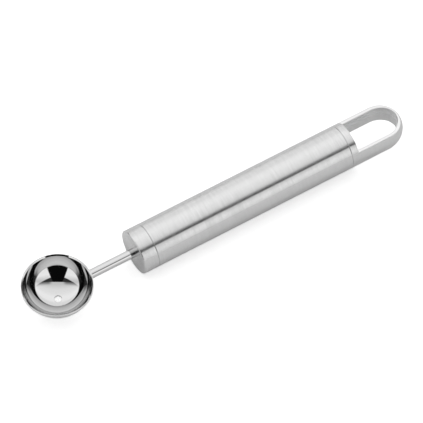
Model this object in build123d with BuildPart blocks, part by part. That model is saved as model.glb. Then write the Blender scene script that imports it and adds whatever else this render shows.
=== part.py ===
from build123d import *
import os

os.makedirs("parts", exist_ok=True)

# A melon baller lying on a table: the handle runs along X, the scoop is at -X and opens upwards,
# and the hanging loop is at +X. The origin is under the middle of the whole length, at table height.
# All sizes are in millimetres.

# Scoop: a cup pressed from sheet, a round bottom inside a narrow flange, with a thickened lip
lip_diameter = 30.0
flange_width = 0.8
flange_height = 0.5
bowl_depth = 10.6
sheet_thickness = 0.8
lip_land = 0.25
lip_edge_height = 1.1
lip_flank_height = 0.6
lip_rounding = 0.1
drain_diameter = 3.0
drain_rounding = 0.15

# Shank: a round bar from the scoop into the handle, its axis a drop below the lip
shank_diameter = 4.0
shank_drop = 5.0
neck_length = 21.15
shank_tail = 2.5

# Handle: a tube closed at both ends by turned caps
handle_diameter = 19.7
tube_length = 94.5
tube_wall = 1.0
cap_length = 6.85
cap_rounding = 0.5
seam_chamfer = 0.2

# Spigots of both caps, bonded inside the tube
spigot_length = 11.0
spigot_clearance = 0.05
spigot_chamfer = 0.5
recess_diameter = 12.0
recess_depth = 8.0
bond_width = 3.0
bond_depth = 0.4
shank_clearance = 0.02

# Hanging loop, milled from the same bar as the rear collar; its domed end is a little longer than round
collar_length = 3.2
loop_thickness = 9.4
arm_thickness = 2.85
slot_straight = 15.2
loop_end_extra = 0.8
end_thickness = 2.15
loop_chamfer = 0.25

# Welds of the shank, at the scoop and at the inside of the front cap
scoop_weld_length = 1.2
scoop_weld_slope = 0.2
tail_weld_leg = 1.5

# How far a cut reaches past the surface that it opens
overrun = 1.0

# Radii, and the adhesive in the middle of each spigot. The round bottom is part of a ball: its radius follows
# from the width of the bottom's rim and its depth.
lip_radius = lip_diameter / 2
rim_radius = lip_radius - flange_width
ball_radius = (rim_radius**2 + bowl_depth**2) / (2 * bowl_depth)
outer_ball_radius = ball_radius + sheet_thickness
shank_radius = shank_diameter / 2
handle_radius = handle_diameter / 2
bore_radius = handle_radius - tube_wall
spigot_radius = bore_radius - spigot_clearance
recess_radius = recess_diameter / 2
bond_setback = (spigot_length - bond_width) / 2
drain_radius = drain_diameter / 2

# The loop in plan: its end outside and inside, and the width of its slot
loop_end_length = handle_radius + loop_end_extra
slot_end_length = loop_end_length - end_thickness
slot_width = handle_diameter - 2 * arm_thickness

# Places along X, from the tip of the scoop to the end of the loop
cap_stack = cap_length + tube_length + collar_length
loop_length = slot_straight + loop_end_length
total_length = lip_diameter + neck_length + cap_stack + loop_length
scoop_x = lip_radius - total_length / 2
face_x = scoop_x + lip_radius + neck_length
front_seam_x = face_x + cap_length
rear_seam_x = front_seam_x + tube_length
collar_end_x = rear_seam_x + collar_length
loop_round_x = collar_end_x + slot_straight
recess_floor_x = front_seam_x + spigot_length - recess_depth

# Heights: the handle or the round bottom of the scoop, whichever is lower, lies on the table
scoop_reach = flange_height + bowl_depth + sheet_thickness - shank_drop
axis_z = max(handle_radius, scoop_reach)
lip_height = axis_z + shank_drop
rim_z = lip_height - flange_height
ball_z = rim_z - bowl_depth + ball_radius
bottom_z = ball_z - outer_ball_radius

# The foot of the lip outside, on the outer ball
outer_rim_z = lip_height - lip_edge_height - lip_flank_height
outer_rim_radius = (outer_ball_radius**2 - (ball_z - outer_rim_z) ** 2) ** 0.5

# Sections of turned parts are drawn in this plane, as (place along X, radius)
turning_plane = Plane(origin=(0, 0, axis_z), x_dir=(1, 0, 0), z_dir=(0, -1, 0))
handle_axis = Axis((0, 0, axis_z), (1, 0, 0))


def spigot_points(seam_x, way):
    """Outline of a spigot from its shoulder at the seam to its recess floor, reaching way = +1 or -1."""
    tip_x = seam_x + way * spigot_length
    bond_start_x = seam_x + way * bond_setback
    bond_end_x = bond_start_x + way * bond_width
    return [
        (seam_x, spigot_radius),
        (bond_start_x, spigot_radius),
        (bond_start_x, spigot_radius - bond_depth),
        (bond_end_x, spigot_radius - bond_depth),
        (bond_end_x, spigot_radius),
        (tip_x - way * spigot_chamfer, spigot_radius),
        (tip_x, spigot_radius - spigot_chamfer),
        (tip_x, recess_radius),
        (tip_x - way * recess_depth, recess_radius),
    ]


def bond_points(seam_x, way):
    """Section of the adhesive band between the groove of a spigot and the bore of the tube."""
    start_x = seam_x + way * bond_setback
    end_x = start_x + way * bond_width
    inner_radius = spigot_radius - bond_depth
    return [(start_x, inner_radius), (end_x, inner_radius), (end_x, bore_radius), (start_x, bore_radius)]


# Scoop bowl: round bottom, then a narrow flange up to the lip, whose outside is turned upright
scoop_plane = Plane(origin=(scoop_x, 0, 0), x_dir=(1, 0, 0), z_dir=(0, -1, 0))
with BuildPart() as scoop_bowl:
    with BuildSketch(scoop_plane):
        with BuildLine():
            RadiusArc((0, rim_z - bowl_depth), (rim_radius, rim_z), -ball_radius)
            Polyline(
                (rim_radius, rim_z),
                (lip_radius - lip_land, lip_height),
                (lip_radius, lip_height),
                (lip_radius, lip_height - lip_edge_height),
                (outer_rim_radius, outer_rim_z),
            )
            RadiusArc((outer_rim_radius, outer_rim_z), (0, bottom_z), outer_ball_radius)
            Line((0, bottom_z), (0, rim_z - bowl_depth))
        make_face()
        # The drain lets the juice out and the air in, so that the ball comes free
        with Locations((0, bottom_z - overrun)):
            Rectangle(
                drain_radius,
                sheet_thickness + 2 * overrun,
                align=(Align.MIN, Align.MIN),
                mode=Mode.SUBTRACT,
            )
    revolve(axis=Axis((scoop_x, 0, 0), (0, 0, 1)))
    drain_edges = scoop_bowl.edges().filter_by(GeomType.CIRCLE).sort_by(SortBy.RADIUS)[:2]
    fillet(drain_edges, drain_rounding)
    lip_edges = scoop_bowl.edges().filter_by(GeomType.CIRCLE).sort_by(Axis.Z)[-3:]
    fillet(lip_edges, lip_rounding)
scoop_bowl.part.label = "scoop_bowl"
export_step(scoop_bowl.part, "parts/scoop_bowl.step")

# Shank: its front end is coped to the outside of the round bottom
shank_start_x = scoop_x + rim_radius - sheet_thickness - shank_diameter
with BuildPart() as shank:
    with BuildSketch(Plane.YZ.offset(shank_start_x)):
        with Locations((0, axis_z)):
            Circle(shank_radius)
    extrude(amount=recess_floor_x + shank_tail - shank_start_x)
    with Locations((scoop_x, 0, ball_z)):
        Sphere(outer_ball_radius, mode=Mode.SUBTRACT)
shank.part.label = "shank"
export_step(shank.part, "parts/shank.step")

# Weld between the shank and the scoop: a slim cone of filler, fitted to both
weld_end_x = scoop_x + outer_rim_radius + scoop_weld_length
weld_start_radius = shank_radius + scoop_weld_slope * (weld_end_x - shank_start_x)
with BuildPart() as scoop_weld:
    with BuildSketch(turning_plane):
        with BuildLine():
            Polyline(
                (shank_start_x, shank_radius),
                (shank_start_x, weld_start_radius),
                (weld_end_x, shank_radius),
                close=True,
            )
        make_face()
    revolve(axis=handle_axis)
    with Locations((scoop_x, 0, ball_z)):
        Sphere(outer_ball_radius, mode=Mode.SUBTRACT)
    add(scoop_bowl.part, mode=Mode.SUBTRACT)
scoop_weld.part.label = "scoop_weld"
export_step(scoop_weld.part, "parts/scoop_weld.step")

# Front cap: turned plug with a flat face and a bore for the shank
with BuildPart() as front_cap:
    with BuildSketch(turning_plane):
        with BuildLine():
            Polyline(
                (face_x, shank_radius + shank_clearance),
                (face_x, handle_radius),
                (front_seam_x - seam_chamfer, handle_radius),
                (front_seam_x, handle_radius - seam_chamfer),
                *spigot_points(front_seam_x, 1),
                (recess_floor_x, shank_radius + shank_clearance),
                close=True,
            )
        make_face()
    revolve(axis=handle_axis)
    rim_edge = front_cap.edges().filter_by(GeomType.CIRCLE).group_by(Axis.X)[0].sort_by(SortBy.RADIUS)[-1]
    fillet(rim_edge, cap_rounding)
front_cap.part.label = "front_cap"
export_step(front_cap.part, "parts/front_cap.step")

# Weld that holds the tail of the shank in the recess of the front cap
with BuildPart() as tail_weld:
    with BuildSketch(turning_plane):
        with BuildLine():
            Polyline(
                (recess_floor_x, shank_radius),
                (recess_floor_x, shank_radius + tail_weld_leg),
                (recess_floor_x + tail_weld_leg, shank_radius),
                close=True,
            )
        make_face()
    revolve(axis=handle_axis)
tail_weld.part.label = "tail_weld"
export_step(tail_weld.part, "parts/tail_weld.step")

# Handle tube: drawn tube with a small chamfer at each seam
with BuildPart() as handle_tube:
    with BuildSketch(turning_plane):
        with BuildLine():
            Polyline(
                (front_seam_x, bore_radius),
                (front_seam_x, handle_radius - seam_chamfer),
                (front_seam_x + seam_chamfer, handle_radius),
                (rear_seam_x - seam_chamfer, handle_radius),
                (rear_seam_x, handle_radius - seam_chamfer),
                (rear_seam_x, bore_radius),
                close=True,
            )
        make_face()
    revolve(axis=handle_axis)
handle_tube.part.label = "handle_tube"
export_step(handle_tube.part, "parts/handle_tube.step")

# Hanger cap: turned with a domed end, then milled flat above and below and slotted right through
with BuildPart() as hanger_cap:
    with BuildSketch(turning_plane):
        with BuildLine():
            Polyline(
                (rear_seam_x - spigot_length + recess_depth, 0),
                *reversed(spigot_points(rear_seam_x, -1)),
                (rear_seam_x, handle_radius - seam_chamfer),
                (rear_seam_x + seam_chamfer, handle_radius),
                (loop_round_x, handle_radius),
            )
            EllipticalCenterArc((loop_round_x, 0), loop_end_length, handle_radius, 0, arc_size=90)
            Line((loop_round_x + loop_end_length, 0), (rear_seam_x - spigot_length + recess_depth, 0))
        make_face()
    revolve(axis=handle_axis)
    # Both flats start at the collar
    for side in (1, -1):
        with BuildSketch(Plane.XY.offset(axis_z + side * loop_thickness / 2)):
            with Locations((collar_end_x, 0)):
                Rectangle(
                    loop_length + overrun, handle_diameter + overrun, align=(Align.MIN, Align.CENTER)
                )
        extrude(amount=side * handle_radius, mode=Mode.SUBTRACT)
    # The slot is square at the collar and rounded at its far end
    with BuildSketch(Plane.XY.offset(axis_z)):
        with Locations((collar_end_x, 0)):
            Rectangle(slot_straight, slot_width, align=(Align.MIN, Align.CENTER))
        with Locations((loop_round_x, 0)):
            Ellipse(slot_end_length, slot_width / 2)
    extrude(amount=loop_thickness, both=True, mode=Mode.SUBTRACT)
    # The edges of both flats are broken, except where the flats run into the collar
    flat_edges = ShapeList()
    for flat in hanger_cap.faces().filter_by(Axis.Z):
        flat_edges += [edge for edge in flat.edges() if edge.center().X > collar_end_x + loop_chamfer]
    chamfer(flat_edges, loop_chamfer)
hanger_cap.part.label = "hanger_cap"
export_step(hanger_cap.part, "parts/hanger_cap.step")

# Adhesive bands that hold both caps in the tube
with BuildPart() as front_bond:
    with BuildSketch(turning_plane):
        with BuildLine():
            Polyline(*bond_points(front_seam_x, 1), close=True)
        make_face()
    revolve(axis=handle_axis)
front_bond.part.label = "front_bond"
export_step(front_bond.part, "parts/front_bond.step")

with BuildPart() as rear_bond:
    with BuildSketch(turning_plane):
        with BuildLine():
            Polyline(*bond_points(rear_seam_x, -1), close=True)
        make_face()
    revolve(axis=handle_axis)
rear_bond.part.label = "rear_bond"
export_step(rear_bond.part, "parts/rear_bond.step")

print("overall length", round(total_length, 2))
print("scoop at x", round(scoop_x, 2), "slot from x", round(collar_end_x, 2))
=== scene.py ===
import math

import bmesh
import bpy
import numpy as np
from mathutils import Matrix, Vector


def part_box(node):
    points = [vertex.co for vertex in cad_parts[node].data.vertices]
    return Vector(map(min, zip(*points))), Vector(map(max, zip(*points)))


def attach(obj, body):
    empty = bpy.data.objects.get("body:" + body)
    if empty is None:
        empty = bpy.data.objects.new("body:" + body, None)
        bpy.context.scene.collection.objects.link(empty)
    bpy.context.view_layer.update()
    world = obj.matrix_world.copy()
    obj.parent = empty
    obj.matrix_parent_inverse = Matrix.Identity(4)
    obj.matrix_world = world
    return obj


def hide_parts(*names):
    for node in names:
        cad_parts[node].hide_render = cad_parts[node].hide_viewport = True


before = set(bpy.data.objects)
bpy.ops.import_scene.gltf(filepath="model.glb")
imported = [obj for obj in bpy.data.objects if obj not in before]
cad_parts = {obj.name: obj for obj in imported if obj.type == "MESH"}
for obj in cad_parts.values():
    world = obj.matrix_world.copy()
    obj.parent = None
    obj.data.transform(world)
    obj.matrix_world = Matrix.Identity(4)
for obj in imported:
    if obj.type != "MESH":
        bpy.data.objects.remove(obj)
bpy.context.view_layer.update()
scene = bpy.context.scene
scene.view_settings.view_transform = "Standard"

# A stainless steel melon baller. The handle lies along X, the scoop is at -X and the loop at +X.
# Sizes in the dictionaries are millimetres, and the meshes are metres.
mm = 0.001


def boxOf(node):
    # A node's lowest and highest corners, in millimetres
    return [np.array(corner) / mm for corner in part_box(node)]


# Where the pieces are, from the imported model
tubeLow, tubeHigh = boxOf("handle_tube")
bowlLow, bowlHigh = boxOf("scoop_bowl")
handleRadius = (tubeHigh[1] - tubeLow[1]) / 2
axisZ = (tubeHigh[2] + tubeLow[2]) / 2  # the handle's axis
scoopX = (bowlHigh[0] + bowlLow[0]) / 2  # the scoop's upright axis
lipZ = bowlHigh[2]
capFaceX = boxOf("front_cap")[0][0]
shankEndX = boxOf("shank")[1][0]
print("frame: handle radius", round(handleRadius, 2), "scoop at", round(scoopX, 2))

camera = {
    "azimuth": 30.910,  # degrees from +Y towards +X that the view runs along
    "elevation": 57.796,  # degrees above the table
    "distance": 1470.1,  # from the aim
    "lens": 302.1,
    "sensor": 36,
    "clip": (0.05, 20),  # metres
    "aim": (-32.775, 0.0, 9.85),
    "aimRight": -26.375,  # how far right of the aim the picture's centre is, and above it
    "aimUp": -14.03,
}


def placeCamera(c):
    # The camera looks along forward, from the aim less its offsets in the picture and the distance
    az, el = math.radians(c["azimuth"]), math.radians(c["elevation"])
    forward = Vector((math.cos(el) * math.sin(az), math.cos(el) * math.cos(az), -math.sin(el)))
    right = Vector((math.cos(az), -math.sin(az), 0))
    up = right.cross(forward)
    data = bpy.data.cameras.new("camera")
    data.lens = c["lens"]
    data.sensor_width = c["sensor"]
    data.clip_start, data.clip_end = c["clip"]
    holder = bpy.data.objects.new("camera", data)
    scene.collection.objects.link(holder)
    place = Vector(c["aim"]) - right * c["aimRight"] - up * c["aimUp"] - forward * c["distance"]
    turn = Matrix((right, up, -forward)).transposed()
    holder.matrix_world = Matrix.Translation(place * mm) @ turn.to_4x4()
    scene.camera = holder


placeCamera(camera)
print("camera placed")


def toLinear(hexText):
    # An sRGB hex colour as linear red, green, blue and alpha
    parts = np.array([int(hexText[i : i + 2], 16) for i in (1, 3, 5)]) / 255
    parts = np.where(parts <= 0.04045, parts / 12.92, ((parts + 0.055) / 1.055) ** 2.4)
    return (*parts.tolist(), 1.0)


def addNode(tree, kind, settings=None, **links):
    # Adds a node. Settings are its properties and the values of its sockets. Links say what feeds a socket:
    # by its name, with _ for a space, or by its number, as in0 and in1.
    node = tree.nodes.new(kind)
    for key, value in (settings or {}).items():
        if isinstance(key, int) or key in node.inputs:
            node.inputs[key].default_value = value
        else:
            setattr(node, key, value)
    for key, source in links.items():
        socket = int(key[2:]) if key[:2] == "in" and key[2:].isdigit() else key.replace("_", " ")
        tree.links.new(source, node.inputs[socket])
    return node


# Shapes

mergeDistance = 1e-7  # metres, for points that two grids share
sharpAngle = 28  # degrees between faces, above which their edge shades sharp


def arc(centre, radii, start, end, steps):
    # Points on an ellipse round centre from one angle to the other, in degrees
    turn = np.radians(np.linspace(start, end, steps))
    return np.stack([centre[0] + radii[0] * np.cos(turn), centre[1] + radii[1] * np.sin(turn)], 1)


def bend(before, at, after, radius, steps=6):
    # A corner of an outline, rounded: points on the arc that touches both of its sides
    before, at, after = (np.asarray(point, float) for point in (before, at, after))
    a = (before - at) / np.linalg.norm(before - at)
    b = (after - at) / np.linalg.norm(after - at)
    half = math.acos(a @ b) / 2
    centre = at + (a + b) / np.linalg.norm(a + b) * radius / math.sin(half)
    first, last = (at + side * radius / math.tan(half) - centre for side in (a, b))
    start = math.atan2(first[1], first[0])
    sweep = (math.atan2(last[1], last[0]) - start + math.pi) % (2 * math.pi) - math.pi
    turn = start + sweep * np.linspace(0, 1, steps + 1)
    return centre + radius * np.stack([np.cos(turn), np.sin(turn)], 1)


def dense(points, longest):
    # Divides each run of an outline into equal pieces no longer than longest
    out = [points[:1]]
    for a, b in zip(points[:-1], points[1:]):
        pieces = max(1, int(np.ceil(np.hypot(*(b - a)) / longest)))
        share = np.linspace(0, 1, pieces + 1)[1:, None]
        out.append(a + (b - a) * share)
    return np.concatenate(out)


def runLength(points):
    # Distance along a row of points
    return np.concatenate([[0], np.cumsum(np.linalg.norm(np.diff(points, axis=0), axis=1))])


def turnedGrid(outline, steps, along="x"):
    # An outline of (place, radius) swept round the handle's axis, or of (radius, height) round the scoop's
    turn = np.linspace(0, 2 * np.pi, steps + 1)[None, :]
    u = np.repeat(runLength(outline)[:, None], steps + 1, 1)
    if along == "x":
        place, radius = outline[:, :1], outline[:, 1:]
        points = np.stack([place + 0 * turn, radius * np.cos(turn), axisZ + radius * np.sin(turn)], -1)
        around = handleRadius * turn + 0 * radius
    else:
        radius, height = outline[:, :1], outline[:, 1:]
        points = np.stack([scoopX + radius * np.cos(turn), radius * np.sin(turn), height + 0 * turn], -1)
        around = outline[:, 0].max() * turn + 0 * radius
    return points, np.stack([u, around], -1)


def meshFromGrids(name, grids, extraFaces=(), materials=()):
    # Welds grids of points, given as (points in mm, their UV in mm, material number), into one closed mesh.
    # Each extra face is one many-sided face, given the same way.
    verts, faces, uvs, slots = [], [], [], []
    offset = 0
    for points, uv, slot in grids:
        rows, columns = points.shape[:2]
        index = np.arange(rows * columns).reshape(rows, columns) + offset
        quads = np.stack([index[:-1, :-1], index[1:, :-1], index[1:, 1:], index[:-1, 1:]], -1).reshape(-1, 4)
        corner = np.stack([uv[:-1, :-1], uv[1:, :-1], uv[1:, 1:], uv[:-1, 1:]], 2).reshape(-1, 2)
        verts.append(points.reshape(-1, 3))
        faces += quads.tolist()
        uvs.append(corner)
        slots.append(np.full(len(quads), slot))
        offset += rows * columns
    for points, uv, slot in extraFaces:
        verts.append(points)
        faces.append(list(range(offset, offset + len(points))))
        uvs.append(uv)
        slots.append(np.array([slot]))
        offset += len(points)
    mesh = bpy.data.meshes.new(name)
    mesh.from_pydata((np.concatenate(verts) * mm).tolist(), [], faces)
    layer = mesh.uv_layers.new(name="brushing")
    layer.data.foreach_set("uv", (np.concatenate(uvs) * mm).astype(np.float32).ravel())
    mesh.polygons.foreach_set("material_index", np.concatenate(slots).astype(np.int32))
    work = bmesh.new()
    work.from_mesh(mesh)
    bmesh.ops.remove_doubles(work, verts=work.verts, dist=mergeDistance)
    bmesh.ops.recalc_face_normals(work, faces=work.faces)
    if work.calc_volume(signed=True) < 0:
        bmesh.ops.reverse_faces(work, faces=work.faces)
    openEdges = sum(not edge.is_manifold for edge in work.edges)
    work.to_mesh(mesh)
    work.free()
    mesh.shade_smooth()
    mesh.set_sharp_from_angle(angle=math.radians(sharpAngle))
    piece = bpy.data.objects.new(name, mesh)
    scene.collection.objects.link(piece)
    for material in materials:
        mesh.materials.append(material)
    print("mesh", name, "faces", len(mesh.polygons), "open edges", openEdges)
    return piece


# Materials


def newMaterial(name):
    # A material with one principled shader joined to its output
    material = bpy.data.materials.new(name)
    material.use_nodes = True
    tree = material.node_tree
    tree.nodes.clear()
    output = addNode(tree, "ShaderNodeOutputMaterial")
    shader = addNode(tree, "ShaderNodeBsdfPrincipled")
    tree.links.new(shader.outputs[0], output.inputs[0])
    return material, tree, shader


handleLook = {
    "light": "#E4E4E4",
    "dark": "#CACACA",
    "roughness": 0.24,
    "roughnessSpread": 0.03,
    "anisotropic": 0.9,
    "lineSpacing": 0.35,  # real lines are nearer 0.05, too fine to show
    "lineLength": 9.0,
    "bandLines": 9,  # the roughness varies in bands this many lines wide, and this much longer than a line
    "bandStretch": 3,
}
groundLook = {
    **handleLook,
    "light": "#F0F0F0",
    "dark": "#DCDCDC",
    "roughness": 0.28,
    "lineSpacing": 0.3,
    "lineLength": 5.0,
}
polishLook = {
    "colour": "#D4D4D4",
    "roughness": 0.05,
    "roughnessSpread": 0.3,  # as a share of the roughness
    "waveSize": 5.0,
    "waveDepth": 0.01,
    "bump": 0.5,
}


def satinSteel(name, s):
    # Stainless steel turned and brushed round with fine abrasive: the lines run round the piece, so a light
    # is drawn out along it, and stays sharp round it. U runs across the lines.
    material, tree, shader = newMaterial(name)
    uv = addNode(tree, "ShaderNodeUVMap", {"uv_map": "brushing"})
    place = addNode(tree, "ShaderNodeTexCoord")
    length = addNode(tree, "ShaderNodeSeparateXYZ", Vector=uv.outputs[0])
    section = addNode(tree, "ShaderNodeSeparateXYZ", Vector=place.outputs["Object"])
    joined = addNode(
        tree, "ShaderNodeCombineXYZ", X=length.outputs[0], Y=section.outputs[1], Z=section.outputs[2]
    )
    across, along = 1 / (s["lineSpacing"] * mm), 1 / (s["lineLength"] * mm)
    fine = addNode(tree, "ShaderNodeMapping", {"Scale": (across, along, along)}, Vector=joined.outputs[0])
    lines = addNode(
        tree, "ShaderNodeTexNoise", {"Scale": 1.0, "Detail": 3.0, "Roughness": 0.6}, Vector=fine.outputs[0]
    )
    tone = addNode(tree, "ShaderNodeMix", {"data_type": "RGBA"}, Factor=lines.outputs[0])
    # the colour sockets of a Mix node are its seventh and eighth
    tone.inputs[6].default_value = toLinear(s["dark"])
    tone.inputs[7].default_value = toLinear(s["light"])
    tree.links.new(tone.outputs[2], shader.inputs["Base Color"])
    across, along = across / s["bandLines"], along / s["bandStretch"]
    wide = addNode(tree, "ShaderNodeMapping", {"Scale": (across, along, along)}, Vector=joined.outputs[0])
    bands = addNode(
        tree, "ShaderNodeTexNoise", {"Scale": 1.0, "Detail": 1.0, "Roughness": 0.5}, Vector=wide.outputs[0]
    )
    low, high = s["roughness"] - s["roughnessSpread"], s["roughness"] + s["roughnessSpread"]
    rough = addNode(
        tree,
        "ShaderNodeMapRange",
        {"From Min": 0.3, "From Max": 0.7, "To Min": low, "To Max": high},
        Value=bands.outputs[0],
    )
    tree.links.new(rough.outputs[0], shader.inputs["Roughness"])
    tangent = addNode(tree, "ShaderNodeTangent", {"direction_type": "UV_MAP", "uv_map": "brushing"})
    tree.links.new(tangent.outputs[0], shader.inputs["Tangent"])
    shader.inputs["Metallic"].default_value = 1
    shader.inputs["Anisotropic"].default_value = s["anisotropic"]
    return material


def polishedSteel(name, s):
    # Stainless steel buffed to a mirror: clear reflections, only a little uneven from the buffing wheel
    material, tree, shader = newMaterial(name)
    place = addNode(tree, "ShaderNodeTexCoord")
    scale = (1 / (s["waveSize"] * mm),) * 3
    sized = addNode(tree, "ShaderNodeMapping", {"Scale": scale}, Vector=place.outputs["Object"])
    waves = addNode(tree, "ShaderNodeTexNoise", {"Scale": 1.0, "Detail": 1.0}, Vector=sized.outputs[0])
    height = {"Strength": s["bump"], "Distance": s["waveDepth"] * mm}
    bump = addNode(tree, "ShaderNodeBump", height, Height=waves.outputs[0])
    tree.links.new(bump.outputs[0], shader.inputs["Normal"])
    low, high = (s["roughness"] * (1 + way * s["roughnessSpread"]) for way in (-1, 1))
    haze = addNode(
        tree,
        "ShaderNodeMapRange",
        {"From Min": 0.3, "From Max": 0.7, "To Min": low, "To Max": high},
        Value=waves.outputs[0],
    )
    tree.links.new(haze.outputs[0], shader.inputs["Roughness"])
    shader.inputs["Base Color"].default_value = toLinear(s["colour"])
    shader.inputs["Metallic"].default_value = 1
    return material


satin = satinSteel("brushed_stainless_steel", handleLook)
ground = satinSteel("ground_stainless_steel", groundLook)
polished = polishedSteel("polished_stainless_steel", polishLook)
print("steels made")

# Scoop

scoop = {
    "lipRadius": 15.0,
    "flangeWidth": 0.8,
    "flangeHeight": 0.5,
    "bowlDepth": 10.6,  # of the round bottom, below the flange
    "sheet": 0.8,
    "lipLand": 0.25,  # the flat top of the lip
    "lipEdge": 1.1,  # its upright edge
    "lipFlank": 0.6,  # the slope under that edge, back to the round bottom
    "lipRounding": 0.1,
    "rimRounding": 0.2,  # where the round bottom turns out into the flange
    "drainRadius": 1.5,
    "drainRounding": 0.15,
    "nearDrain": 2.0,  # radius where the bottom's slope is taken for the drain's roundings
    "nearCorner": 0.02,  # radians from a corner, where the bottom's slope is taken for its rounding
    "rimGap": 0.008,  # radians from a corner, where the bottom's arc stops: inside at the rim,
    "footGap": 0.01,  # and outside at the foot of the flank
    "innerSteps": 72,
    "outerSteps": 60,
    "drainSteps": 4,
    "steps": 360,
}


def ballOf(s):
    # The round bottom is part of a ball: its radius, and the height of its centre
    rim = s["lipRadius"] - s["flangeWidth"]
    radius = (rim**2 + s["bowlDepth"] ** 2) / (2 * s["bowlDepth"])
    return radius, lipZ - s["flangeHeight"] - s["bowlDepth"] + radius


def makeScoop(s):
    # The section is a closed outline of radius and height, swept round the scoop's axis. Its long sides are
    # arcs of two balls with one centre: (R sin t, centre - R cos t), from the drain to the rim.
    inner, ballZ = ballOf(s)
    outer = inner + s["sheet"]
    lip, rimZ = s["lipRadius"], lipZ - s["flangeHeight"]
    rim = lip - s["flangeWidth"]

    def onBall(radius, t):
        return np.stack([radius * np.sin(t), ballZ - radius * np.cos(t)], -1)

    def drainCorner(radius):
        return (s["drainRadius"], ballZ - math.sqrt(radius**2 - s["drainRadius"] ** 2))

    rimAngle = math.asin(rim / inner)
    footAngle = math.acos((ballZ - (lipZ - s["lipEdge"] - s["lipFlank"])) / outer)
    startIn, startOut = (math.asin((s["drainRadius"] + s["drainRounding"]) / r) for r in (inner, outer))
    nearIn, nearOut = (onBall(r, math.asin(s["nearDrain"] / r)) for r in (inner, outer))
    nearRim = onBall(inner, rimAngle - s["nearCorner"])
    nearFoot = onBall(outer, footAngle - s["nearCorner"])
    holeIn, holeOut, foot = drainCorner(inner), drainCorner(outer), onBall(outer, footAngle)
    top, edgeTop, edgeLow = (lip - s["lipLand"], lipZ), (lip, lipZ), (lip, lipZ - s["lipEdge"])
    innerArc = onBall(inner, np.linspace(startIn, rimAngle - s["rimGap"], s["innerSteps"]))
    outerArc = onBall(outer, np.linspace(footAngle - s["footGap"], startOut, s["outerSteps"]))
    outline = np.concatenate(
        [
            bend(holeOut, holeIn, nearIn, s["drainRounding"], s["drainSteps"]),
            innerArc[1:],
            bend(nearRim, (rim, rimZ), top, s["rimRounding"]),
            bend((rim, rimZ), top, edgeTop, s["lipRounding"]),
            bend(top, edgeTop, edgeLow, s["lipRounding"]),
            bend(edgeTop, edgeLow, foot, s["lipRounding"]),
            bend(edgeLow, foot, nearFoot, s["rimRounding"]),
            outerArc[:-1],
            bend(nearOut, holeOut, holeIn, s["drainRounding"], s["drainSteps"]),
        ]
    )
    outline = np.concatenate([outline, outline[:1]])
    points, uv = turnedGrid(outline, s["steps"], along="z")
    piece = meshFromGrids("scoop", [(points, uv, 0)], materials=[polished])
    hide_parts("scoop_bowl")
    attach(piece, "root")


makeScoop(scoop)

# Shank

shank = {
    "radius": 2.0,
    "endChamfer": 0.2,
    "innerRing": 0.6,  # radius of the ring of faces round the middle of its tail end
    "frontRings": 9,
    "lengthRings": 90,
    "steps": 72,
}


def makeShank(s):
    # A round bar. Its front end is the hollow of the scoop's outside: x is the scoop's centre plus the
    # root of the ball's radius squared less the squares of y and of the height from the ball's centre.
    turn = np.linspace(0, 2 * np.pi, s["steps"] + 1)[None, :]
    radii = np.linspace(0, s["radius"], s["frontRings"])[:, None]
    y, z = radii * np.cos(turn), axisZ + radii * np.sin(turn)
    ball, ballZ = ballOf(scoop)
    x = scoopX + np.sqrt((ball + scoop["sheet"]) ** 2 - y**2 - (z - ballZ) ** 2)
    front = np.stack([x, y, z], -1)
    share = np.linspace(0, 1, s["lengthRings"])[1:, None]
    tail = shankEndX - s["endChamfer"]
    side = np.stack([x[-1:] + (tail - x[-1:]) * share, y[-1:] + 0 * share, z[-1:] + 0 * share], -1)
    back = np.array([s["radius"] - s["endChamfer"], s["innerRing"], 0])[:, None]
    end = np.stack([shankEndX + 0 * back * turn, back * np.cos(turn), axisZ + back * np.sin(turn)], -1)
    points = np.concatenate([front, side, end])
    u = runLength(points[:, 0])[:, None]
    uv = np.stack([u + 0 * turn, s["radius"] * turn + 0 * u], -1)
    piece = meshFromGrids("shank_rod", [(points, uv, 0)], materials=[polished])
    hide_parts("shank")
    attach(piece, "root")


makeShank(shank)

# Handle: tube, front cap and hanger cap

handle = {
    "wall": 1.0,
    "seamChamfer": 0.2,
    "capRounding": 0.5,
    "shankHole": 2.02,
    "spigotLength": 11.0,
    "spigotRadius": 8.8,
    "spigotChamfer": 0.5,
    "bondSetback": 4.0,
    "bondWidth": 3.0,
    "bondDepth": 0.4,
    "recessRadius": 6.0,
    "recessDepth": 8.0,
    "steps": 240,
    "cornerSteps": 12,
    "tubeCell": 1.5,  # longest face along the tube, and then on the cap's face, its barrel and the collar
    "faceCell": 0.5,
    "barrelCell": 1.0,
    "collarCell": 0.75,
}


def spigotOutline(seamX, way, h):
    # Outline of a spigot from the seam to the floor of its recess, reaching way = +1 or -1
    r, tip = h["spigotRadius"], seamX + way * h["spigotLength"]
    grooveStart = seamX + way * h["bondSetback"]
    grooveEnd = grooveStart + way * h["bondWidth"]
    return np.array(
        [
            (seamX, r),
            (grooveStart, r),
            (grooveStart, r - h["bondDepth"]),
            (grooveEnd, r - h["bondDepth"]),
            (grooveEnd, r),
            (tip - way * h["spigotChamfer"], r),
            (tip, r - h["spigotChamfer"]),
            (tip, h["recessRadius"]),
            (tip - way * h["recessDepth"], h["recessRadius"]),
        ]
    )


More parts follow.
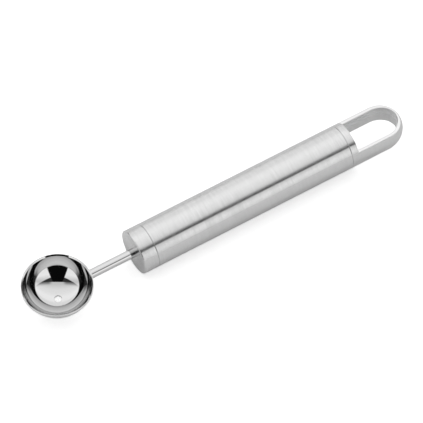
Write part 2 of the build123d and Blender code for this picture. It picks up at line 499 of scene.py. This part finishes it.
def makeTube(h):
    # A closed outline swept round the handle's axis: outside, both chamfers, both ends and the bore
    bore, c = handleRadius - h["wall"], h["seamChamfer"]
    x0, x1 = tubeLow[0], tubeHigh[0]
    outline = np.array(
        [
            (x0, bore),
            (x0, handleRadius - c),
            (x0 + c, handleRadius),
            (x1 - c, handleRadius),
            (x1, handleRadius - c),
            (x1, bore),
            (x0, bore),
        ]
    )
    points, uv = turnedGrid(dense(outline, h["tubeCell"]), h["steps"])
    piece = meshFromGrids("handle_barrel", [(points, uv, 0)], materials=[satin])
    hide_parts("handle_tube")
    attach(piece, "root")


def makeFrontCap(h):
    # A closed outline swept round the handle's axis: face, rounded edge, barrel, chamfer, spigot, recess
    # and the hole for the shank
    seamX, c, r = tubeLow[0], h["seamChamfer"], h["capRounding"]
    face = np.array([(capFaceX, h["shankHole"]), (capFaceX, handleRadius - r)])
    barrel = np.array([(capFaceX + r, handleRadius), (seamX - c, handleRadius)])
    outline = np.concatenate(
        [
            dense(face, h["faceCell"])[:-1],
            arc((capFaceX + r, handleRadius - r), (r, r), 180, 90, h["cornerSteps"]),
            dense(barrel, h["barrelCell"])[1:],
            [(seamX, handleRadius - c)],
            spigotOutline(seamX, 1, h),
            [(seamX + h["spigotLength"] - h["recessDepth"], h["shankHole"])],
        ]
    )
    outline = np.concatenate([outline, outline[:1]])
    points, uv = turnedGrid(outline, h["steps"])
    piece = meshFromGrids("end_cap", [(points, uv, 0)], materials=[satin])
    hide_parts("front_cap")
    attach(piece, "root")


loop = {
    "collarLength": 3.2,
    "halfThickness": 4.7,
    "slotStraight": 15.2,
    "endLength": 10.65,
    "slotEndLength": 8.5,
    "slotHalfWidth": 7.0,
    "chamfer": 0.25,
    "outerArris": (0.28, 0.55),  # a point on the outer chamfer: down from the flat and in, as its shares
    "innerArris": 0.3,  # the same for the slot's chamfer, both ways
    "endSteps": 120,
    "armSteps": 24,
    "edgeRings": 25,
    "wallRings": 13,
    "collarSteps": 80,
}


def makeHangerCap(h, p):
    # The loop is a section carried round a U: at the angle t its outside is at (round + endLength c cos t,
    # radius c sin t), with c the root of one less the square of height over radius, and its inside is at
    # (round + slotEndLength cos t, slotHalfWidth sin t). Two straight arms join it to the collar.
    seamX = tubeHigh[0]
    collarX = seamX + p["collarLength"]
    roundX = collarX + p["slotStraight"]
    half, ch = p["halfThickness"], p["chamfer"]

    # the U's stations: straight arm, half turn, straight arm
    turn = np.radians(np.linspace(90, -90, p["endSteps"] + 1))
    lead = np.linspace(0, 1, p["armSteps"])[:-1]
    arm = roundX - collarX
    back = roundX - arm * np.append(lead[1:], 1)
    x0 = np.concatenate([collarX + arm * lead, np.full(len(turn), roundX), back])
    cosine = np.concatenate([0 * lead, np.cos(turn), 0 * lead])
    sine = np.concatenate([0 * lead + 1, np.sin(turn), 0 * lead - 1])

    def track(reachX, reachY, height):
        return np.stack([x0 + reachX * cosine, reachY * sine, np.full(len(x0), axisZ + height)], -1)

    def outside(height, inset=0.0):
        c = math.sqrt(1 - (height / handleRadius) ** 2)
        return track(p["endLength"] * c - inset, handleRadius * c - inset, height)

    def inside(height, inset=0.0):
        return track(p["slotEndLength"] + inset, p["slotHalfWidth"] + inset, height)

    lean = math.asin(half / handleRadius)
    rim = half - ch * math.cos(lean)
    heights = np.linspace(-rim, rim, p["edgeRings"])
    outer = np.stack([outside(z) for z in heights])
    down, inward = p["outerArris"]
    flatOuter, flatInner = outside(half, ch), inside(half, ch)
    upper = np.stack(
        [
            outside(rim),
            outside(half - ch * down, ch * inward),
            flatOuter,
            *[flatOuter * (1 - share) + flatInner * share for share in (0.25, 0.5, 0.75)],
            flatInner,
            inside(half - ch * p["innerArris"], ch * p["innerArris"]),
            inside(half - ch),
        ]
    )
    wall = np.stack([inside(z) for z in np.linspace(half - ch, ch - half, p["wallRings"])])
    lower = upper[::-1] * (1, 1, -1) + (0, 0, 2 * axisZ)
    grids = []
    stationLength = runLength(outside(0))[None, :]
    for points, slot, lengthwise in ((outer, 0, False), (upper, 1, True), (wall, 1, True), (lower, 1, True)):
        acrossLength = runLength(points[:, 0])[:, None]
        first, second = (acrossLength, stationLength) if lengthwise else (stationLength, acrossLength)
        uv = np.stack([first + 0 * second, second + 0 * first], -1)
        grids.append((points, uv, slot))

    # the collar and its spigot, swept round the handle's axis with stations that meet the arms' own
    side = np.arctan2(heights, np.sqrt(handleRadius**2 - heights**2))
    top = np.linspace(side[-1], np.pi - side[-1], p["collarSteps"])
    stations = np.concatenate([side, top[1:], np.pi + side[1:], top[1:] + np.pi])
    collar = np.array([(seamX + h["seamChamfer"], handleRadius), (collarX, handleRadius)])
    outline = np.concatenate(
        [
            [(seamX - h["spigotLength"] + h["recessDepth"], 0)],
            spigotOutline(seamX, -1, h)[::-1],
            [(seamX, handleRadius - h["seamChamfer"])],
            dense(collar, h["collarCell"]),
        ]
    )
    place, radius = outline[:, :1], outline[:, 1:]
    points = np.stack(
        [place + 0 * stations, radius * np.cos(stations), axisZ + radius * np.sin(stations)], -1
    )
    uv = np.stack([runLength(outline)[:, None] + 0 * stations, handleRadius * stations + 0 * radius], -1)
    grids.append((points, uv, 0))

    # the collar's rear face, between the two arms: over the top, down one arm's end, back below and up the
    # other's
    rightArm = np.concatenate([upper[:, 0], wall[1:, 0], lower[1:, 0]])
    leftArm = rightArm * (1, -1, 1)
    arcTop = points[-1, len(side) - 1 : len(side) - 1 + len(top)]
    arcLow = points[-1, 2 * len(side) + len(top) - 3 :]
    ring = np.concatenate([arcTop, leftArm[1:-1], arcLow, rightArm[::-1][1:-1]])
    uv = np.stack([np.abs(ring[:, 2] - axisZ), ring[:, 1]], -1)
    piece = meshFromGrids("hanging_loop", grids, extraFaces=[(ring, uv, 1)], materials=[satin, ground])
    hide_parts("hanger_cap")
    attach(piece, "root")


makeTube(handle)
makeFrontCap(handle)
makeHangerCap(handle, loop)
print("handle made")

# Welds and adhesive keep their own solids

weld = {"colour": "#B9B7B3", "roughness": 0.35, "grainSize": 0.4, "grainDepth": 0.03, "bump": 0.4}
glue = {"dark": "#6F706C", "light": "#7F807B", "roughness": 0.4, "mottleSize": 0.8}


def weldSteel(s):
    # Stainless filler, left as it cooled: fine ripples and a dull grain
    material, tree, shader = newMaterial("stainless_weld")
    place = addNode(tree, "ShaderNodeTexCoord").outputs["Object"]
    size = {"Scale": 1 / (s["grainSize"] * mm), "Detail": 2.0}
    grain = addNode(tree, "ShaderNodeTexNoise", size, Vector=place)
    height = {"Strength": s["bump"], "Distance": s["grainDepth"] * mm}
    bump = addNode(tree, "ShaderNodeBump", height, Height=grain.outputs[0])
    tree.links.new(bump.outputs[0], shader.inputs["Normal"])
    shader.inputs["Base Color"].default_value = toLinear(s["colour"])
    shader.inputs["Metallic"].default_value = 1
    shader.inputs["Roughness"].default_value = s["roughness"]
    return material


def adhesive(s):
    # Cured two-part epoxy: grey, slightly glossy, with a fine mottle
    material, tree, shader = newMaterial("cured_epoxy")
    place = addNode(tree, "ShaderNodeTexCoord").outputs["Object"]
    size = {"Scale": 1 / (s["mottleSize"] * mm), "Detail": 2.0}
    mottle = addNode(tree, "ShaderNodeTexNoise", size, Vector=place)
    tone = addNode(tree, "ShaderNodeMix", {"data_type": "RGBA"}, Factor=mottle.outputs[0])
    tone.inputs[6].default_value = toLinear(s["dark"])
    tone.inputs[7].default_value = toLinear(s["light"])
    tree.links.new(tone.outputs[2], shader.inputs["Base Color"])
    shader.inputs["Roughness"].default_value = s["roughness"]
    return material


for names, material in (
    (("scoop_weld",), polished),
    (("tail_weld",), weldSteel(weld)),
    (("front_bond", "rear_bond"), adhesive(glue)),
):
    for name in names:
        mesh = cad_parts[name].data
        mesh.materials.clear()
        mesh.materials.append(material)
print("welds and adhesive dressed")

# Studio: a white tent all round, seen only by reflection. Its opening towards the camera is dark: an upright
# gap, and above it a wide dark flap. Directions are towards the camera, to its right and up.

tent = {
    "turn": 0.5,  # degrees that the opening is turned from the camera towards its right
    "gapHalfWidth": 31.5,  # degrees to each side
    "gapBottom": 3.0,  # degrees above the horizon
    "flapInner": (35.0, 45.0),  # azimuth and elevation of the lower edge of the flap, at both of its ends
    "flapOuter": (76.0, 33.5),
    "flapTop": 64.6,  # elevation of its upper edge, above the camera
    "gapTone": 0.004,
    "flapTone": 0.042,
    "soft": 0.03,  # width of a soft edge, in sines
    "shadeTone": 0.22,  # above the flap, to both sides, the tent is shaded: darkest at the flap's edge
    "shadeDepth": 0.2,
    "shadeAside": (0.25, 0.5),
    "cornerStart": 90.0,  # azimuth of the dark corners at both sides
    "cornerEnd": 155.0,
    "cornerTop": 13.0,
    "cornerTone": 0.05,
    "cornerSoft": 0.16,
    "bands": (
        # angle round the camera's right, in degrees, from straight ahead over the top, and brightness
        (-180, 0.81),
        (-150, 0.76),
        (-90, 0.65),
        (-30, 0.76),
        (0, 0.97),
        (42, 1.03),
        (50, 1.2),
        (64, 1.22),
        (78, 1.1),
        (90, 1.06),
        (100, 0.93),
        (110, 0.78),
        (122, 0.86),
        (132, 1.03),
        (142, 1.21),
        (160, 1.17),
        (175, 0.98),
        (180, 0.85),
    ),
}


def makeWorld(s, c):
    # The tent's brightness by direction. Each part of the opening is a product of masks, and a mask is a soft
    # step of the dot product of the direction with a plane's normal.
    world = bpy.data.worlds.new("studio")
    scene.world = world
    world.use_nodes = True
    tree = world.node_tree
    tree.nodes.clear()
    output = addNode(tree, "ShaderNodeOutputWorld")
    path = addNode(tree, "ShaderNodeLightPath")
    direction = addNode(tree, "ShaderNodeTexCoord").outputs["Generated"]

    # the direction towards the opening, to its right and up; both sides are alike, so right is made positive
    az = math.radians(c["azimuth"] + s["turn"])
    basis = [(-math.sin(az), -math.cos(az), 0), (math.cos(az), -math.sin(az), 0), (0, 0, 1)]
    shares = [
        addNode(tree, "ShaderNodeVectorMath", {"operation": "DOT_PRODUCT", 1: axis}, in0=direction)
        for axis in basis
    ]
    near, right, up = (share.outputs["Value"] for share in shares)
    aside = addNode(tree, "ShaderNodeMath", {"operation": "ABSOLUTE"}, in0=right)
    folded = addNode(tree, "ShaderNodeCombineXYZ", X=near, Y=aside.outputs[0], Z=up).outputs[0]

    # bands by the angle round the camera's right
    far = addNode(tree, "ShaderNodeMath", {"operation": "MULTIPLY", 1: -1.0}, in0=near)
    angle = addNode(tree, "ShaderNodeMath", {"operation": "ARCTAN2"}, in0=up, in1=far.outputs[0])
    ends = {"From Min": -math.pi, "From Max": math.pi}
    ramp = addNode(tree, "ShaderNodeMapRange", ends, Value=angle.outputs[0])
    curve = addNode(tree, "ShaderNodeValToRGB", Fac=ramp.outputs[0])
    elements = curve.color_ramp.elements
    while len(elements) < len(s["bands"]):
        elements.new(0.5)
    for element, (degrees, value) in zip(elements, s["bands"]):
        element.position = (degrees + 180) / 360
        element.color = (value, value, value, 1)

    def towards(azimuth, elevation):
        a, e = math.radians(azimuth), math.radians(elevation)
        return np.array([math.cos(e) * math.cos(a), math.cos(e) * math.sin(a), math.sin(e)])

    def side(normal, offset=0.0, soft=s["soft"]):
        # 1 on the side that the normal points to, beyond the offset, and 0 on the other
        plane = {"operation": "DOT_PRODUCT", 1: [float(v) for v in normal]}
        product = addNode(tree, "ShaderNodeVectorMath", plane, in0=folded)
        step = {"From Min": offset - soft / 2, "From Max": offset + soft / 2}
        step["interpolation_type"] = "SMOOTHSTEP"
        return addNode(tree, "ShaderNodeMapRange", step, Value=product.outputs["Value"]).outputs[0]

    def everywhere(mask, *others):
        # 1 where all of the masks are 1
        for other in others:
            mask = addNode(tree, "ShaderNodeMath", {"operation": "MULTIPLY"}, in0=mask, in1=other).outputs[0]
        return mask

    # the opening's planes: under the flap, over it through its ends and its top, and beside the gap
    lower = np.cross(towards(*s["flapInner"]), towards(*s["flapOuter"]))
    overLower = side(lower / np.linalg.norm(lower))
    top, end = towards(0, s["flapTop"]), towards(*s["flapOuter"])
    slope = math.atan2(top[2] - end[2], top[0] - end[0])
    upper = np.array([math.sin(slope), 0, -math.cos(slope)])
    edge = float(upper @ top)
    underUpper = side(upper, edge)
    half = math.radians(s["gapHalfWidth"])
    betweenSides = side((math.sin(half), -math.cos(half), 0))
    overBottom = side((0, 0, 1), math.sin(math.radians(s["gapBottom"])))
    gap = everywhere(betweenSides, overBottom, underUpper)
    flap = everywhere(overLower, underUpper)

    fade = side(upper, edge - s["shadeDepth"] / 2, s["shadeDepth"])
    aside0, aside1 = s["shadeAside"]
    wide = side((0, 1, 0), (aside0 + aside1) / 2, aside1 - aside0)
    shade = everywhere(overLower, fade, wide)

    start, stop = math.radians(s["cornerStart"]), math.radians(s["cornerEnd"])
    corner = everywhere(
        side((-math.sin(start), math.cos(start), 0), 0, s["cornerSoft"]),
        side((math.sin(stop), -math.cos(stop), 0), 0, s["cornerSoft"]),
        side((0, 0, -1), -math.sin(math.radians(s["cornerTop"])), s["cornerSoft"]),
    )

    # each mask lays its own brightness over what is there, the gap last
    tone = curve.outputs[0]
    for mask, name in ((corner, "cornerTone"), (shade, "shadeTone"), (flap, "flapTone"), (gap, "gapTone")):
        # the number sockets of a Mix node are its third and fourth
        laid = addNode(tree, "ShaderNodeMix", {"data_type": "FLOAT", 3: s[name]}, Factor=mask, in2=tone)
        tone = laid.outputs[0]
    plain = addNode(tree, "ShaderNodeBackground", {"Color": (1, 1, 1, 1)}, Strength=tone)
    white = addNode(tree, "ShaderNodeBackground", {"Color": (1, 1, 1, 1), "Strength": 1.0})
    shown = addNode(tree, "ShaderNodeMixShader")
    tree.links.new(path.outputs["Is Camera Ray"], shown.inputs[0])
    tree.links.new(plain.outputs[0], shown.inputs[1])
    tree.links.new(white.outputs[0], shown.inputs[2])
    tree.links.new(shown.outputs[0], output.inputs[0])


makeWorld(tent, camera)

paper = {
    "halfSide": 1.5,  # metres
    "colour": "#F4F4F4",
    "roughness": 0.9,
    "glow": 0.55,  # added where the camera sees it
}


def makeFloor(s):
    # Matt white paper: seen straight it is white, and only the tool's shadow darkens it
    corners = np.array([[-1, -1, 0], [1, -1, 0], [1, 1, 0], [-1, 1, 0]]) * s["halfSide"]
    mesh = bpy.data.meshes.new("floor")
    mesh.from_pydata(corners.tolist(), [], [[0, 1, 2, 3]])
    floor = bpy.data.objects.new("floor", mesh)
    scene.collection.objects.link(floor)
    material, tree, shader = newMaterial("white_paper")
    shader.inputs["Base Color"].default_value = toLinear(s["colour"])
    shader.inputs["Roughness"].default_value = s["roughness"]
    shader.inputs["Specular IOR Level"].default_value = 0
    seen = addNode(tree, "ShaderNodeLightPath").outputs["Is Camera Ray"]
    strength = addNode(tree, "ShaderNodeMath", {"operation": "MULTIPLY", 1: s["glow"]}, in0=seen)
    glow = addNode(tree, "ShaderNodeEmission", {"Color": (1, 1, 1, 1)}, Strength=strength.outputs[0])
    both = addNode(tree, "ShaderNodeAddShader", in0=shader.outputs[0], in1=glow.outputs[0])
    output = next(node for node in tree.nodes if node.type == "OUTPUT_MATERIAL")
    tree.links.new(both.outputs[0], output.inputs[0])
    mesh.materials.append(material)


makeFloor(paper)
print("studio made")
